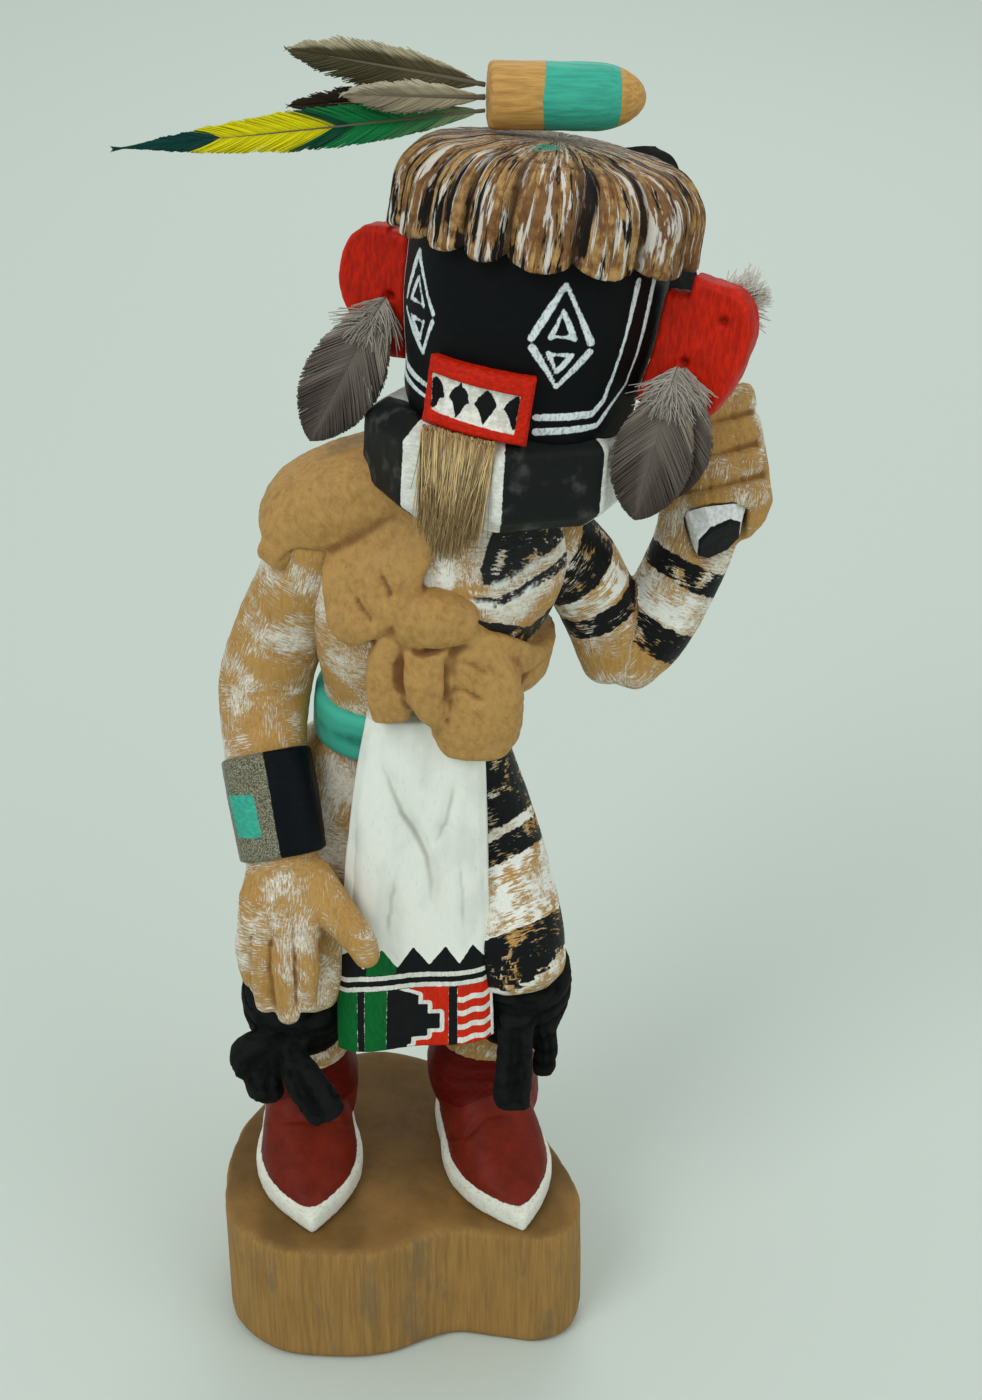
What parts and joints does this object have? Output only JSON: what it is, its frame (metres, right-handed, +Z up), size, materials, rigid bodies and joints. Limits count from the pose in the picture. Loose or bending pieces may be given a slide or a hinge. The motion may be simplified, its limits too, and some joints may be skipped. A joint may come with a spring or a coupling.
{
  "type": "kachina doll",
  "caption": "Carved and painted wooden kachina doll, bent forward on a root-wood base, with feathers, fur beard and raised club.",
  "frame": {"origin": "centre of the base's flat underside", "axes": "+Z up, the figure faces -Y, its left hand (the raised one) is towards +X"},
  "size_m": [0.1321, 0.0887, 0.3082],
  "materials": {
    "carved_wood": "carved wood, bare and painted",
    "base_wood": "bare brown wood with upright grain",
    "red_paint": "matt red paint on wood",
    "turquoise_paint": "matt turquoise paint on wood",
    "club_paint": "matt black and white paint on wood",
    "tail_feather": "parrot tail feather, green, yellow and teal",
    "crest_feather": "small olive and brown feathers",
    "grey_feather": "grey-brown body feathers",
    "fur": "tan fur"
  },
  "bodies": {
    "root": {"figure": "carved_wood", "base": "base_wood", "ear_right": "red_paint", "ear_left": "red_paint", "head_tube": "turquoise_paint", "beard": "fur", "club": "club_paint", "tail_feather": "tail_feather", "crest_feather_upper": "crest_feather", "crest_feather_lower": "crest_feather", "crest_feather_dark": "crest_feather", "ear_feather_right": "grey_feather", "ear_feather_left_front": "grey_feather", "ear_feather_left_back": "grey_feather", "ear_down": "grey_feather"}
  },
  "joints": []
}
